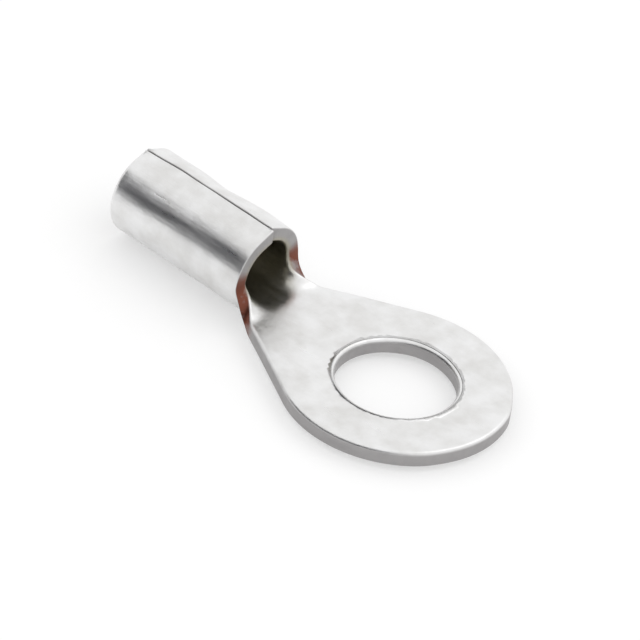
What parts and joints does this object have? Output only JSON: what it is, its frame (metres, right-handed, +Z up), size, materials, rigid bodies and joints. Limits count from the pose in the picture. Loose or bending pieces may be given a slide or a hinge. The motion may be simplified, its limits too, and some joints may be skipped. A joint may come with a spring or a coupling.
{
  "type": "ring terminal",
  "caption": "Ring terminal with an open crimp barrel: a flat eye for a stud, and a rolled tube with a butted seam for stripped wire.",
  "frame": {"origin": "centre of the stud hole on the tongue's underside", "axes": "+Z up through the stud hole, -X along the barrel to the wire end, seam of the barrel on top"},
  "size_m": [0.0204, 0.01, 0.0043],
  "materials": {
    "tinned_copper": "satin tin plate over copper"
  },
  "bodies": {
    "root": {"ring_terminal": "tinned_copper"}
  },
  "joints": []
}
